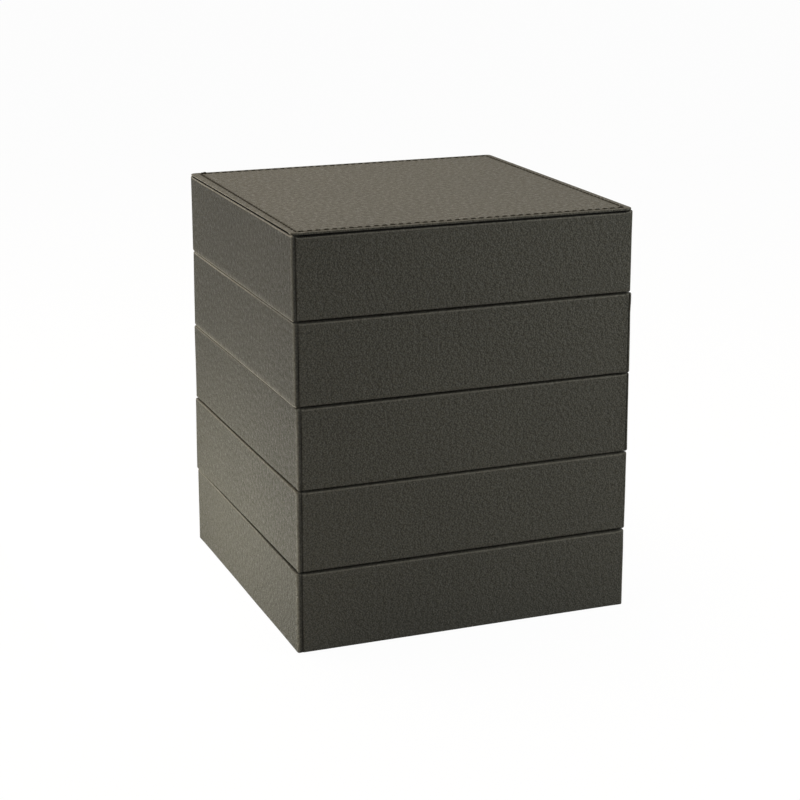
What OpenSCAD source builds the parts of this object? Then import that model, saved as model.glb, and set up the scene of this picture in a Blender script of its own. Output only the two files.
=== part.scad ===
// Jewellery box of five square trays that swing out on a corner post, under a stitched lid on two hinges.
// X runs to the right, Y to the back and Z up, from the middle of the underside.

/* [Trays] */
// Width of every tray, left to right
box_w = 180; // [150:1:240]
// Depth of every tray, front to back
box_d = 180; // [150:1:240]
// Height of one tray, leathercloth included
tray_h = 41.9; // [38:0.1:60]
// Gap between one tray and the next, filled at the post by a washer
tray_gap = 0.6; // [0.4:0.1:2]
// Thickness of the felt under the base
felt_t = 0.6; // [0.4:0.1:3]
// Distance of the felt from the edges of the base
felt_inset = 4; // [2:0.5:12]

/* [Leathercloth and boards] */
// Thickness of the leathercloth wrap
leather_t = 1; // [0.6:0.1:1.6]
// Radius of a wrapped upright edge
edge_r = 1.5; // [0.8:0.1:2]
// Width of the leathercloth turned under a tray
turn_under = 12; // [6:1:20]
// Depth of the leathercloth turned down inside the rim
turn_in = 8; // [4:0.5:12]
// Thickness of the wall boards
wall_t = 5; // [4:0.5:8]
// Thickness of the floor boards
floor_t = 4; // [4:0.5:7]
// Thickness of the suede-covered liners
liner_t = 1.2; // [0.8:0.1:2.4]
// Gap left for glue round a piece that is let into a hole
glue_gap = 0.05; // [0.02:0.01:0.1]

/* [Swivel post] */
// Diameter of the post
post_d = 8; // [6:0.5:11]
// Side of the square corner block that carries the pivot
block_size = 28; // [24:1:40]
// Wall of the bush in the block
bush_wall = 2; // [1.5:0.25:3]
// Radial clearance of a turning fit
run_fit = 0.05; // [0.02:0.01:0.1]
// Ring width of a thrust washer
washer_w = 5; // [3:0.5:6]
// Thickness of the flange under the base
flange_t = 3; // [2:0.25:3.5]
// Distance of the flange's rim inside the block's faces
flange_inset = 1; // [0.5:0.25:2]
// Number of screws round the flange
flange_screw_count = 3; // [3:1:4]
// Diameter of the flange screws
flange_screw_d = 3; // [2.5:0.25:3.5]
// Overhang of a flange screw's head round its shank
flange_head_lip = 1; // [0.6:0.1:1.4]
// Depth that a flange screw bites into the block
flange_bite = 12; // [8:1:16]
// Wall of the nut across its flats
nut_wall = 2.5; // [2:0.25:4]
// Height of the nut
nut_h = 6.5; // [4:0.5:8]
// Length of post that shows above the nut
post_end = 1; // [0.5:0.25:3]

/* [Lid] */
// Thickness of the card inside the lid's stitched cover
card_t = 0.8; // [0.6:0.1:2]
// Gap between the closed lid and the rim
lid_gap = 0.3; // [0.2:0.1:0.9]
// Thickness of the board that drops into the top tray
lid_board_t = 5; // [4.5:0.5:7]
// Clearance of that board's skin in the top tray's mouth
lid_fit = 1; // [0.6:0.1:2]
// Distance of the mirror from the edges of the lid's board
mirror_margin = 22; // [20:1:40]
// Thickness of the mirror
mirror_t = 2; // [1.5:0.25:3]
// Width of suede that laps over the mirror's edges
mirror_lap = 2.5; // [1.5:0.5:5]
// Height left free between the post and the closed lid
head_room = 1.5; // [1:0.5:5]

/* [Hinges] */
// Width of a hinge
hinge_w = 24; // [18:1:32]
// Distance of a hinge from the side of the box
hinge_inset = 30; // [16:1:40]
// Thickness of the hinge leaves
leaf_t = 0.8; // [0.6:0.1:1.2]
// Height of the lower leaf on the back wall
leaf_drop = 13; // [9:1:20]
// Length of the upper leaf over the lid's board
leaf_reach = 14; // [10:1:16]
// Diameter of the hinge pins
pin_d = 1.8; // [1.4:0.1:2.2]
// Wall of a knuckle round its pin
knuckle_wall = 0.85; // [0.6:0.05:1.2]
// Clearance between hinge parts that pass each other
hinge_gap = 0.3; // [0.2:0.05:0.5]
// Diameter of the hinge screws
hinge_screw_d = 2; // [1.6:0.1:2.4]
// Wood left past the tip of a hinge screw
tip_skin = 0.8; // [0.5:0.1:1.2]

/* [Inside] */
// Thickness of a divider
divider_t = 4; // [3:0.5:6]
// Height of a divider
divider_h = 22; // [14:1:24]
// Clearance at a divider's ends
divider_fit = 0.2; // [0.1:0.05:0.5]
// Columns of compartments in the second tray
tray_2_cols = 3; // [1:1:4]
// Rows of compartments in the second tray
tray_2_rows = 3; // [1:1:4]
// Columns of compartments in the third tray
tray_3_cols = 2; // [1:1:4]
// Rows of compartments in the third tray
tray_3_rows = 2; // [1:1:4]
// Columns of compartments in the fourth tray
tray_4_cols = 3; // [1:1:4]
// Width of a ring roll
roll_w = 15; // [12:0.5:18]
// Height of a ring roll
roll_h = 17; // [10:0.5:20]
// Gap between ring rolls
roll_gap = 0.6; // [0.4:0.1:2]

/* [Hidden] */
$fn = 48;
// Length by which a cutting shape runs past the face that it cuts
cut = 1;

// The trays from the top down, and the pieces that each of them has
TRAYS = ["top_tray", "tray_2", "tray_3", "tray_4", "base_tray"];
TRAY_PIECES = ["frame", "floor", "leather", "liner", "underside", "block", "dividers"];
TOP = 0;
BASE = len(TRAYS) - 1;
TURNING = [for (i = [TOP : BASE - 1]) i];

leather_colour = [0.24, 0.23, 0.20];
board_colour = [0.66, 0.52, 0.36];
suede_colour = [0.62, 0.55, 0.45];
felt_colour = [0.16, 0.16, 0.15];
steel_colour = [0.72, 0.73, 0.74];
brass_colour = [0.78, 0.62, 0.33];
nylon_colour = [0.90, 0.89, 0.85];
card_colour = [0.45, 0.41, 0.35];
mirror_colour = [0.82, 0.87, 0.90];

// Heights of the trays, counted from the top one
tray_pitch = tray_h + tray_gap;
function tray_z(i) = felt_t + (BASE - i) * tray_pitch;
function rim_z(i) = tray_z(i) + tray_h;
function floor_z(i) = tray_z(i) + leather_t;
function liner_z(i) = floor_z(i) + floor_t;
function inside_z(i) = liner_z(i) + liner_t;

// Half widths and half depths of the shells, one inside the next
shell_t = leather_t + wall_t;
frame_out_half = [box_w / 2 - leather_t, box_d / 2 - leather_t];
frame_in_half = [box_w / 2 - shell_t, box_d / 2 - shell_t];
mouth_half = [frame_in_half.x - leather_t, frame_in_half.y - leather_t];
inside_half = [frame_in_half.x - liner_t, frame_in_half.y - liner_t];
window_half = [box_w / 2 - turn_under, box_d / 2 - turn_under];

// The corner block stands in the back left corner, with the post through its middle
post_r = post_d / 2;
post_hole_r = post_r + run_fit;
bush_r = post_hole_r + bush_wall;
bush_hole_r = bush_r + glue_gap;
post_x = -frame_in_half.x + block_size / 2;
post_y = frame_in_half.y - block_size / 2;
block_x1 = -frame_in_half.x + block_size;
block_y0 = frame_in_half.y - block_size;
function hole_r(i) = i == BASE ? post_hole_r : bush_hole_r;

// The flange under the base and its ring of screws, evenly spaced with the widest gap at the back
flange_r = block_size / 2 - flange_inset;
flange_screw_r = flange_screw_d / 2;
flange_screw_ring = (post_r + flange_r) / 2;
flange_head_r = flange_screw_r + flange_head_lip;
flange_screw_step = 360 / flange_screw_count;
FLANGE_SCREWS = [for (k = [1 : flange_screw_count]) 90 + (k - 1 / 2) * flange_screw_step];

// The lid lies over the rim, and its board hangs inside the mouth
lid_z = rim_z(TOP) + lid_gap;
lid_t = leather_t + card_t;
panel_half = [mouth_half.x - lid_fit, mouth_half.y - lid_fit];
lid_board_half = [panel_half.x - liner_t, panel_half.y - liner_t];
lid_board_z = lid_z - lid_board_t;
panel_z = lid_board_z - liner_t;
mirror_half = [lid_board_half.x - mirror_margin, lid_board_half.y - mirror_margin];

// The nut stands between the top tray's block and the closed lid
post_top = panel_z - head_room;
nut_z = post_top - post_end - nut_h;
top_block_z = nut_z - tray_gap;
function block_top(i) = i == TOP ? top_block_z : rim_z(i);

// The hinges' axis lies behind the back edge of the lid, with the barrel hanging from the upper leaf
pin_r = pin_d / 2;
pin_hole_r = pin_r + run_fit;
barrel_r = pin_hole_r + knuckle_wall;
hinge_y = box_d / 2 + hinge_gap + barrel_r;
hinge_z = lid_z - barrel_r;
hinge_x = box_w / 2 - hinge_inset - hinge_w / 2;
knuckle_w = (hinge_w - 2 * hinge_gap) / 3;
lower_leaf_z = hinge_z - barrel_r - hinge_gap;
upper_leaf_y = hinge_y - barrel_r - hinge_gap;
upper_leaf_end = lid_board_half.y - leaf_reach;
hinge_screw_r = hinge_screw_d / 2;
hinge_head_r = hinge_screw_r + leaf_t;
hinge_screw_dx = hinge_w / 4;
wall_screw_len = leaf_t + leather_t + wall_t - tip_skin;
lid_screw_len = lid_board_t - tip_skin;

// Compartments: a channel in front of the block, and a grid beside it
channel_x = block_x1 + divider_fit;
grid_x0 = channel_x + divider_t;
grid_y0 = -inside_half.y;
COLS = [1, tray_2_cols, tray_3_cols, tray_4_cols, 1];
ROWS = [2, tray_2_rows, tray_3_rows, 1, 1];
function cell_w(i) = (inside_half.x - grid_x0 - (COLS[i] - 1) * divider_t) / COLS[i];
function cell_d(i) = (inside_half.y - grid_y0 - (ROWS[i] - 1) * divider_t) / ROWS[i];

// Two-dimensional outline with rounded corners, from half sizes
module rounded_outline(half, r) {
    square([2 * half.x, 2 * (half.y - r)], center = true);
    square([2 * (half.x - r), 2 * half.y], center = true);
    for (sx = [-1, 1], sy = [-1, 1])
        translate([sx * (half.x - r), sy * (half.y - r)])
            circle(r);
}

// Upright slab from z0 to z1 on half sizes about the middle
module slab(half, z0, z1) {
    translate([-half.x, -half.y, z0])
        cube([2 * half.x, 2 * half.y, z1 - z0]);
}

// The wrapped outside of a tray or lid
module wrapped_slab(z0, z1) {
    translate([0, 0, z0])
        linear_extrude(z1 - z0)
            rounded_outline([box_w / 2, box_d / 2], edge_r);
}

// Space of a tray's corner block
module block_space(i) {
    translate([-frame_in_half.x, block_y0, liner_z(i)])
        cube([block_size, block_size, block_top(i) - liner_z(i)]);
}

// Upright round hole or rod on the post's axis
module on_post(r, z0, z1) {
    translate([post_x, post_y, z0])
        cylinder(r = r, h = z1 - z0);
}

// Flat countersunk screw along -Z, with its head's face at the origin
module screw(shank_r, head_r, length, gap = 0) {
    head_h = head_r - shank_r;
    translate([0, 0, -length - gap])
        cylinder(r = shank_r + gap, h = length + gap);
    translate([0, 0, -head_h])
        cylinder(r1 = shank_r + gap, r2 = head_r + gap, h = head_h);
}

module flange_screw_set(gap = 0) {
    for (a = FLANGE_SCREWS)
        translate([post_x, post_y, floor_z(BASE)])
            rotate([0, 0, a])
                translate([flange_screw_ring, 0, 0])
                    rotate([180, 0, 0])
                        screw(flange_screw_r, flange_head_r, floor_t + flange_bite, gap);
}

// Places its children at both hinges
module at_hinges() {
    for (sx = [-1, 1])
        translate([sx * hinge_x, 0, 0])
            children();
}

module wall_screw_set(gap = 0) {
    at_hinges()
        for (sx = [-1, 1])
            translate([sx * hinge_screw_dx, box_d / 2 + leaf_t, lower_leaf_z - leaf_drop / 2])
                rotate([-90, 0, 0])
                    screw(hinge_screw_r, hinge_head_r, wall_screw_len, gap);
}

module lid_screw_set(gap = 0) {
    at_hinges()
        for (sx = [-1, 1])
            translate([sx * hinge_screw_dx, upper_leaf_end + leaf_reach / 2, lid_z])
                screw(hinge_screw_r, hinge_head_r, lid_screw_len, gap);
}

// Room for the upper leaves between the lid and what lies under them, open at the back
module leaf_slots(clear) {
    at_hinges()
        translate([-hinge_w / 2 - clear, upper_leaf_end - clear, lid_z - leaf_t - clear])
            cube([hinge_w + 2 * clear, box_d, leaf_t + lid_t]);
}

// Cuts that the lid's hinges need in the top tray
module hinge_cuts(i) {
    if (i == TOP) {
        leaf_slots(hinge_gap);
        wall_screw_set(glue_gap);
    }
}

// Four wall boards, the front and back ones running the full width
module tray_frame(i) {
    z0 = floor_z(i);
    side_half = frame_in_half.y - glue_gap;
    color(board_colour)
        difference() {
            union() {
                for (sy = [-1, 1])
                    translate([0, sy * (frame_in_half.y + wall_t / 2), 0])
                        slab([frame_out_half.x, wall_t / 2], z0, rim_z(i) - leather_t);
                for (sx = [-1, 1])
                    translate([sx * (frame_in_half.x + wall_t / 2), 0, 0])
                        slab([wall_t / 2, side_half], z0, rim_z(i) - leather_t);
            }
            hinge_cuts(i);
        }
}

module tray_floor(i) {
    color(board_colour)
        difference() {
            slab(frame_in_half, floor_z(i), liner_z(i));
            on_post(hole_r(i), floor_z(i) - cut, liner_z(i) + cut);
            if (i == BASE) {
                on_post(flange_r + glue_gap, floor_z(i) - cut, floor_z(i) + flange_t);
                flange_screw_set(glue_gap);
            }
        }
}

// The wrap goes up the outside, over the rim, down inside it and under the floor
module tray_leather(i) {
    lip_z = rim_z(i) - leather_t - turn_in;
    color(leather_colour)
        difference() {
            wrapped_slab(tray_z(i), rim_z(i));
            slab(frame_out_half, floor_z(i), lip_z);
            difference() {
                slab(frame_out_half, lip_z, rim_z(i) - leather_t);
                slab(frame_in_half, lip_z - cut, rim_z(i));
            }
            slab(mouth_half, lip_z - cut, rim_z(i) + cut);
            slab(window_half, tray_z(i) - cut, floor_z(i) + cut);
            block_space(i);
            if (i != BASE)
                on_post(bush_hole_r, tray_z(i) - cut, floor_z(i) + cut);
            hinge_cuts(i);
        }
}

module tray_liner(i) {
    color(suede_colour)
        difference() {
            slab(frame_in_half, liner_z(i), rim_z(i) - leather_t - turn_in);
            slab(inside_half, inside_z(i), rim_z(i));
            block_space(i);
        }
}

module tray_underside(i) {
    color(card_colour)
        difference() {
            slab(window_half, tray_z(i), floor_z(i));
            if (i != BASE)
                on_post(bush_hole_r, tray_z(i) - cut, floor_z(i) + cut);
        }
}

module tray_block(i) {
    color(suede_colour)
        difference() {
            block_space(i);
            on_post(hole_r(i), liner_z(i) - cut, block_top(i) + cut);
            if (i == BASE)
                flange_screw_set(glue_gap);
        }
}

// The bush runs right through its tray, so that its ends bear on the washers
module tray_bush(i) {
    color(brass_colour)
        difference() {
            on_post(bush_r, tray_z(i), block_top(i));
            on_post(post_hole_r, tray_z(i) - cut, block_top(i) + cut);
        }
}

// One board beside the block, boards between the columns and short boards between the rows
module tray_dividers(i) {
    deep = 2 * (inside_half.y - divider_fit);
    across = cell_w(i) - 2 * divider_fit;
    col_pitch = cell_w(i) + divider_t;
    row_pitch = cell_d(i) + divider_t;
    color(suede_colour)
        translate([0, 0, inside_z(i)]) {
            for (c = [0 : COLS[i] - 1])
                translate([channel_x + c * col_pitch, grid_y0 + divider_fit, 0])
                    cube([divider_t, deep, divider_h]);
            if (ROWS[i] > 1)
                for (c = [0 : COLS[i] - 1], r = [1 : ROWS[i] - 1])
                    translate([grid_x0 + c * col_pitch + divider_fit, grid_y0 + r * row_pitch - divider_t, 0])
                        cube([across, divider_t, divider_h]);
        }
}

// Foam rolls with flat feet and round tops, as many as fit in the front compartment
module top_tray_ring_rolls() {
    roll_pitch = roll_w + roll_gap;
    count = floor((cell_d(TOP) - roll_gap) / roll_pitch);
    first_y = grid_y0 + (cell_d(TOP) - (count - 1) * roll_pitch) / 2;
    length = cell_w(TOP) - 2 * divider_fit;
    color(suede_colour)
        for (k = [0 : count - 1])
            translate([grid_x0 + divider_fit, first_y + k * roll_pitch, inside_z(TOP)])
                rotate([90, 0, 90])
                    linear_extrude(length) {
                        translate([-roll_w / 2, 0])
                            square([roll_w, roll_h - roll_w / 2]);
                        intersection() {
                            translate([0, roll_h - roll_w / 2])
                                circle(roll_w / 2);
                            translate([-roll_w / 2, 0])
                                square([roll_w, roll_h]);
                        }
                    }
}

module base_felt() {
    color(felt_colour)
        slab([box_w / 2 - felt_inset, box_d / 2 - felt_inset], 0, felt_t);
}

module post() {
    color(steel_colour)
        on_post(post_r, floor_z(BASE), post_top);
}

module post_flange() {
    color(steel_colour)
        difference() {
            on_post(flange_r, floor_z(BASE), floor_z(BASE) + flange_t);
            on_post(post_r + glue_gap, floor_z(BASE) - cut, floor_z(BASE) + flange_t + cut);
            flange_screw_set(glue_gap);
        }
}

module flange_screws() {
    color(steel_colour)
        flange_screw_set();
}

// One washer under each turning tray, and one under the nut
module thrust_washers() {
    color(nylon_colour)
        for (z = concat([for (i = TURNING) tray_z(i) - tray_gap], [top_block_z]))
            difference() {
                on_post(post_hole_r + washer_w, z, z + tray_gap);
                on_post(post_hole_r, z - cut, z + tray_gap + cut);
            }
}

module post_nut() {
    across_flats = post_d + 2 * nut_wall;
    color(steel_colour)
        difference() {
            translate([post_x, post_y, nut_z])
                cylinder(d = across_flats / cos(30), h = nut_h, $fn = 6);
            on_post(post_r + glue_gap, nut_z - cut, nut_z + nut_h + cut);
        }
}

module lid_cover() {
    color(leather_colour)
        difference() {
            wrapped_slab(lid_z, lid_z + lid_t);
            slab(frame_out_half, lid_z - cut, lid_z + card_t);
        }
}

module lid_card() {
    color(card_colour)
        slab(frame_out_half, lid_z, lid_z + card_t);
}

module lid_board() {
    color(board_colour)
        difference() {
            slab(lid_board_half, lid_board_z, lid_z);
            slab(mirror_half, lid_board_z - cut, lid_board_z + mirror_t);
            leaf_slots(glue_gap);
            lid_screw_set(glue_gap);
        }
}

// The skin covers the board's edges and underside, and laps over the mirror's edges
module lid_skin() {
    color(suede_colour)
        difference() {
            slab(panel_half, panel_z, lid_z);
            slab(lid_board_half, lid_board_z, lid_z + cut);
            slab([mirror_half.x - mirror_lap, mirror_half.y - mirror_lap], panel_z - cut, lid_z);
            leaf_slots(glue_gap);
        }
}

module lid_mirror() {
    color(mirror_colour)
        slab([mirror_half.x - glue_gap, mirror_half.y - glue_gap], lid_board_z, lid_board_z + mirror_t);
}

// Knuckle along X on the hinge axis, from x0 to x1
module knuckle(x0, x1, r = barrel_r) {
    translate([x0, hinge_y, hinge_z])
        rotate([0, 90, 0])
            cylinder(r = r, h = x1 - x0);
}

// A plate on the back wall with a knuckle at each end
module hinge_lower_leaves() {
    half = hinge_w / 2;
    color(brass_colour)
        difference() {
            at_hinges()
                difference() {
                    union() {
                        translate([-half, box_d / 2, lower_leaf_z - leaf_drop])
                            cube([hinge_w, leaf_t, leaf_drop]);
                        for (x0 = [-half, half - knuckle_w]) {
                            translate([x0, box_d / 2, lower_leaf_z - cut])
                                cube([knuckle_w, leaf_t, hinge_z - lower_leaf_z + cut]);
                            knuckle(x0, x0 + knuckle_w);
                        }
                    }
                    knuckle(-half - cut, half + cut, pin_hole_r);
                }
            wall_screw_set(glue_gap);
        }
}

// A plate between the lid's cover and its board, with a knuckle in the middle
module hinge_upper_leaves() {
    half = hinge_w / 2;
    color(brass_colour)
        difference() {
            at_hinges()
                difference() {
                    union() {
                        translate([-half, upper_leaf_end, lid_z - leaf_t])
                            cube([hinge_w, upper_leaf_y - upper_leaf_end, leaf_t]);
                        translate([-knuckle_w / 2, upper_leaf_y - cut, lid_z - leaf_t])
                            cube([knuckle_w, hinge_y - upper_leaf_y + cut, leaf_t]);
                        knuckle(-knuckle_w / 2, knuckle_w / 2);
                    }
                    knuckle(-half - cut, half + cut, pin_hole_r);
                }
            lid_screw_set(glue_gap);
        }
}

module hinge_pins() {
    color(brass_colour)
        at_hinges()
            knuckle(-hinge_w / 2, hinge_w / 2, pin_r);
}

module hinge_wall_screws() {
    color(brass_colour)
        wall_screw_set();
}

module hinge_lid_screws() {
    color(brass_colour)
        lid_screw_set();
}

for (i = [TOP : BASE]) {
    tray_frame(i);
    tray_floor(i);
    tray_leather(i);
    tray_liner(i);
    tray_underside(i);
    tray_block(i);
    tray_dividers(i);
}
for (i = TURNING)
    tray_bush(i);
top_tray_ring_rolls();
base_felt();
post();
post_flange();
flange_screws();
thrust_washers();
post_nut();
lid_cover();
lid_card();
lid_board();
lid_skin();
lid_mirror();
hinge_lower_leaves();
hinge_upper_leaves();
hinge_pins();
hinge_wall_screws();
hinge_lid_screws();
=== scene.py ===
"""Square jewellery box: five trays that swing out on a corner post, under a stitched and hinged lid."""

import bpy
import numpy as np
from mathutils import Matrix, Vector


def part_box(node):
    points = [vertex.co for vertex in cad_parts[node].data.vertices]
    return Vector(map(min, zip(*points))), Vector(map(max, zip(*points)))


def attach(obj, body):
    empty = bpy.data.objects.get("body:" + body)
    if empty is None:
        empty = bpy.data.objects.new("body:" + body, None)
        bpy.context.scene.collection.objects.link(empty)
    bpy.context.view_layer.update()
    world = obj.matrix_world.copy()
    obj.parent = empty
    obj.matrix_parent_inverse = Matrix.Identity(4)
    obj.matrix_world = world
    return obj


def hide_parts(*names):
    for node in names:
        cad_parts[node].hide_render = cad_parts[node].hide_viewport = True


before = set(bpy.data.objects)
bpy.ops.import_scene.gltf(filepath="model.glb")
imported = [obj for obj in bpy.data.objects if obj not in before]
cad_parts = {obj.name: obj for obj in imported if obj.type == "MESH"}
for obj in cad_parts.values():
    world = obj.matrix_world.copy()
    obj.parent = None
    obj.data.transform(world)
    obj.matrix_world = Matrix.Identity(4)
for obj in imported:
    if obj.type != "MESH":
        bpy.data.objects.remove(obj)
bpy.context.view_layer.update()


# Wall and floor boards.
# Each tray is a square of four glued fibreboard walls with a floor let in; the lid has one board.
# They are sawn and sanded, and leathercloth, suede or card hides all but their joints.
TRAYS = ("base_tray", "tray_4", "tray_3", "tray_2", "top_tray")
BODY_OF = {tray: "base" if tray == "base_tray" else tray for tray in TRAYS}


def node(tree, kind, inputs=None, **settings):
    """Adds a shader node, each input a plain value or the socket that feeds it; returns its outputs."""
    made = tree.nodes.new("ShaderNode" + kind)
    for key, value in settings.items():
        setattr(made, key, value)
    for key, value in (inputs or {}).items():
        if isinstance(value, bpy.types.NodeSocket):
            tree.links.new(value, made.inputs[key])
        elif made.inputs[key].type == "RGBA":
            made.inputs[key].default_value = (*value, 1.0)
        else:
            made.inputs[key].default_value = value
    return made.outputs


def effect(name, scale, outputs):
    """An empty shader node group with a Vector, a Scale and named outputs; returns its two ends too."""
    tree = bpy.data.node_groups.new(name, "ShaderNodeTree")
    tree.interface.new_socket("Vector", in_out="INPUT", socket_type="NodeSocketVector")
    tree.interface.new_socket("Scale", in_out="INPUT", socket_type="NodeSocketFloat").default_value = scale
    for key in outputs:
        tree.interface.new_socket(key, in_out="OUTPUT", socket_type="NodeSocketFloat")
    return tree, tree.nodes.new("NodeGroupInput").outputs, tree.nodes.new("NodeGroupOutput").inputs


def placed(tree, group, where, scale):
    """The outputs of an effect that is laid on coordinates at a scale."""
    return node(tree, "Group", {"Vector": where, "Scale": scale}, node_tree=group)


def noise(tree, where, scale, detail, rough=0.5, distortion=0.0, dimensions="3D"):
    """A noise texture, whose outputs are a value and a colour."""
    inputs = {"Vector": where, "Scale": scale, "Detail": detail, "Roughness": rough, "Distortion": distortion}
    return node(tree, "TexNoise", inputs, noise_dimensions=dimensions)


def eased(tree, value, low, high):
    """A value eased from 0 at low to 1 at high."""
    return node(tree, "MapRange", {0: value, 1: low, 2: high}, interpolation_type="SMOOTHSTEP")[0]


def math(tree, operation, *terms):
    """One arithmetic step on two or three values."""
    return node(tree, "Math", dict(enumerate(terms)), operation=operation)[0]


def scaled(tree, value, factor, plus):
    """A value times a factor, plus another value."""
    return math(tree, "MULTIPLY_ADD", value, factor, plus)


def mixed(tree, share, first, second):
    """A colour that runs from the first to the second as share runs from 0 to 1."""
    return node(tree, "Mix", {0: share, 6: first, 7: second}, data_type="RGBA")[2]


def shaded(tree, colour, tone):
    """A colour made lighter or darker by a factor."""
    return node(tree, "VectorMath", {0: colour, "Scale": tone}, operation="SCALE")[0]


def finish_of(name):
    """A new material: itself, its node tree and its Principled shader."""
    material = bpy.data.materials.new(name)
    material.use_nodes = True
    return material, material.node_tree, material.node_tree.nodes["Principled BSDF"]


def paint(tree, shader, colour, rough):
    """Feeds a shader its colour and its roughness."""
    tree.links.new(colour, shader.inputs["Base Color"])
    tree.links.new(rough, shader.inputs["Roughness"])


def relief(tree, shader, height, strength, distance):
    """Small relief from a height, for light to catch on."""
    bump = node(tree, "Bump", {"Strength": strength, "Distance": distance, "Height": height})
    tree.links.new(bump[0], shader.inputs["Normal"])


def dress(material, *names):
    """Gives CAD nodes their finish."""
    for name in names:
        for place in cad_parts[name].material_slots:
            place.material = material


def noise_effect(name, scale, output, low, high, *detail):
    """An effect of one output: a noise, eased between two of its levels."""
    tree, group_in, group_out = effect(name, scale, [output])
    value = noise(tree, group_in["Vector"], group_in["Scale"], *detail)[0]
    tree.links.new(eased(tree, value, low, high), group_out[output])
    return tree


# Soft patches of lighter and darker tone, as handling, dust and uneven dye leave them; and short fibres lying
# every way, as in felt, card, suede and fibreboard
patchy = noise_effect("patchy_tone", 20.0, "Tone", 0.25, 0.75, 3.0)
fibres = noise_effect("pressed_fibres", 1000.0, "Fibre", 0.3, 0.7, 4.0, 0.65, 2.2)


def fibre_finish(name, light, dark, patch, fibre, rough, bump):
    """Matt fibrous stuff: broad patches between two colours, fibres that lighten them, and a fuzzy relief."""
    material, tree, shader = finish_of(name)
    where = node(tree, "TexCoord")["Object"]
    tone = placed(tree, patchy, where, patch)["Tone"]
    hair = placed(tree, fibres, where, fibre)["Fibre"]
    colour = shaded(tree, mixed(tree, tone, dark, light), scaled(tree, hair, 0.4, 0.8))
    paint(tree, shader, colour, scaled(tree, hair, 0.12, rough))
    relief(tree, shader, hair, 0.6, bump)
    return material, tree, shader


fibreboard = fibre_finish(
    "sanded_fibreboard", (0.40, 0.25, 0.125), (0.31, 0.185, 0.085), 35.0, 900.0, 0.72, 0.0002)[0]
dress(fibreboard, "lid_board", *(tray + part for tray in TRAYS for part in ("_frame", "_floor")))


# Leathercloth wraps of the five trays.
# Each is a strip of embossed coated cloth glued round the walls, turned over the rim and under the floor.
# Its ends meet in a crease just round the front left edge, and three trays show a loose end at the right.
MM = 0.001
LEATHER_T = 1.0
RIM_W = 7.0
EDGE_R = 0.8
ROLL_R = 1.6
ROLL_TO = 157.0
TURN_R = 0.5
LIP_R = 0.8
LIP_DROP = 9.0
FOOT_R = 1.0
BASE_FOOT_R = 0.45
FOOT_DROP = 0.1
TURN_UNDER = 12.0
# How pale the rims on the front, right and back are painted: wear and painted highlight
FRONT_DIP = 0.58
RIM_WEAR_AND_HIGHLIGHT = 0.3
LOOSE_IN = 1.1
HINGE_W = 24.0
NOTCH_FIT = 0.3
NOTCH_DROP = 0.8
SIDE_DIRECTIONS = np.array([[1, 0], [0, 1], [-1, 0], [0, -1]], float)
FRONT, RIGHT, BACK, LEFT = range(4)


def corners(name):
    """A CAD node's lowest and highest corners at rest, in millimetres."""
    return np.array(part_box(name)) / MM


HALF = corners("base_tray_leather")[1, 0]
STRAIGHT = HALF - EDGE_R
POST_X, POST_Y = corners("post").mean(axis=0)[:2]
HINGE_OUT = corners("hinge_upper_leaves")[1, 0]


def stations(spacing, marks=None, corner_steps=6):
    """Stations anticlockwise round a square, from the front's left end: side number, place along the side and
    turn into the corner after it. Marks adds places to a side, where something narrow needs them."""
    rows = []
    even = np.linspace(-STRAIGHT, STRAIGHT, int(round(2 * STRAIGHT / spacing)) + 1)
    corner = np.linspace(0, np.pi / 2, corner_steps + 1)[1:-1]
    for side in (FRONT, RIGHT, BACK, LEFT):
        extra = np.clip(np.asarray((marks or {}).get(side, []), float), -STRAIGHT, STRAIGHT)
        place = np.unique(np.round(np.concatenate([even, extra]), 4))
        rows.append(np.c_[np.full(place.size, side), place, np.zeros(place.size)])
        rows.append(np.c_[np.full(corner.size, side), np.full(corner.size, STRAIGHT), corner])
    return np.concatenate(rows)


def round_square(at, depth, radius):
    """Points of rounded squares nested inside the box, each lying depth inside its outer faces. A point is
    the side's direction times its place along it, plus the outward normal times the half size; in a corner
    both follow an arc. Places near the ends draw in with the depth, so that no two squares cross."""
    side, place, turn = at[:, 0].astype(int), at[:, 1:2], at[:, 2:3]
    direction = SIDE_DIRECTIONS[side][:, None, :]
    normal = np.stack([direction[..., 1], -direction[..., 0]], -1)
    half = HALF - depth
    reach = half - radius
    kept = 0.8 * STRAIGHT
    inner = np.minimum(kept, 0.8 * reach)
    outer = inner + (np.abs(place) - kept) * (reach - inner) / (STRAIGHT - kept)
    straight = np.sign(place) * np.where(np.abs(place) < kept, np.abs(place) * inner / kept, outer)
    along = np.where(turn > 0, reach + radius * np.sin(turn), straight)
    out = np.where(turn > 0, reach + radius * np.cos(turn), half)
    outward = normal[:, 0] * np.cos(turn) + direction[:, 0] * np.sin(turn)
    return direction * along[..., None] + normal * out[..., None], outward


def arc(centre, radius, start, end, count):
    """Points on an arc about a centre, between two angles in degrees, anticlockwise from the first axis."""
    angle = np.radians(np.linspace(start, end, count))
    return np.c_[centre[0] + radius * np.cos(angle), centre[1] + radius * np.sin(angle)]


def grid_faces(rows, columns, close_rows=True, close_columns=True):
    """Quads between neighbouring points of a grid; a closed direction joins its last line to its first."""
    r = np.arange(rows if close_rows else rows - 1)[:, None]
    c = np.arange(columns if close_columns else columns - 1)[None, :]
    r1, c1 = (r + 1) % rows, (c + 1) % columns
    quads = np.stack([r * columns + c, r1 * columns + c, r1 * columns + c1, r * columns + c1], -1)
    return quads.reshape(-1, 4)


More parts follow.
